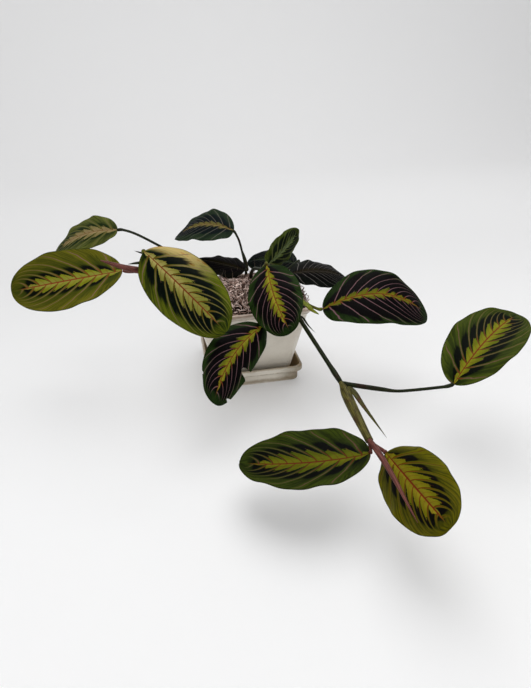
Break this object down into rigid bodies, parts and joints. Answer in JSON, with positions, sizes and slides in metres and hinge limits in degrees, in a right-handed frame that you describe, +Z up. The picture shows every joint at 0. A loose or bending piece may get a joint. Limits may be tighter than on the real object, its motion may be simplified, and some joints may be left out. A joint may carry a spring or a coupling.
{
  "type": "potted prayer plant maranta",
  "caption": "Trailing prayer plant with herringbone leaves in a square white pot, topped with moss and standing in its saucer.",
  "frame": {"origin": "centre of the saucer's flat underside, on the surface it stands on", "axes": "+Z up; X and Y square to the pot's sides; the front shoot trails towards -Y and its side leaf towards +X"},
  "size_m": [0.422, 0.3951, 0.1607],
  "materials": {
    "glaze": "white glaze, glossy, slightly soiled",
    "soil": "damp potting soil, matte",
    "moss": "dry curly moss fibres, matte",
    "leaf_light": "olive leaf with dark patches and red veins, satin",
    "leaf_dark": "blackish green leaf with pink veins, satin",
    "stem_dark": "dark green-brown stem, satin",
    "stem_green": "yellow-green stem, satin",
    "stem_pink": "dull pink stem or rolled leaf, satin"
  },
  "bodies": {
    "root": {"bract_centre": "stem_dark", "bract_left": "stem_dark", "bract_right": "stem_green", "crown": "stem_green", "leaf_back_left": "leaf_light", "leaf_centre": "leaf_dark", "leaf_far_left": "leaf_light", "leaf_far_right": "leaf_light", "leaf_front_left": "leaf_light", "leaf_hanging": "leaf_dark", "leaf_low_front": "leaf_light", "leaf_low_right": "leaf_light", "leaf_right": "leaf_dark", "leaf_shade_back": "leaf_dark", "leaf_shade_left": "leaf_dark", "leaf_shade_right": "leaf_dark", "leaf_top": "leaf_dark", "leaf_young": "leaf_light", "moss": "moss", "petiole_back_left": "stem_dark", "petiole_centre": "stem_green", "petiole_far_left": "stem_pink", "petiole_far_right": "stem_dark", "petiole_front_left": "stem_green", "petiole_hanging": "stem_dark", "petiole_low_front": "stem_pink", "petiole_low_right": "stem_pink", "petiole_right": "stem_green", "petiole_shade_back": "stem_dark", "petiole_shade_left": "stem_dark", "petiole_shade_right": "stem_dark", "petiole_top": "stem_dark", "petiole_young": "stem_green", "pot": "glaze", "rolled_leaf_left": "stem_pink", "rolled_leaf_right": "stem_pink", "saucer": "glaze", "sheath_flap": "stem_green", "sheath_right": "stem_green", "shoot_left": "stem_dark", "shoot_middle": "stem_dark", "shoot_right": "stem_dark", "soil": "soil"}
  },
  "joints": []
}
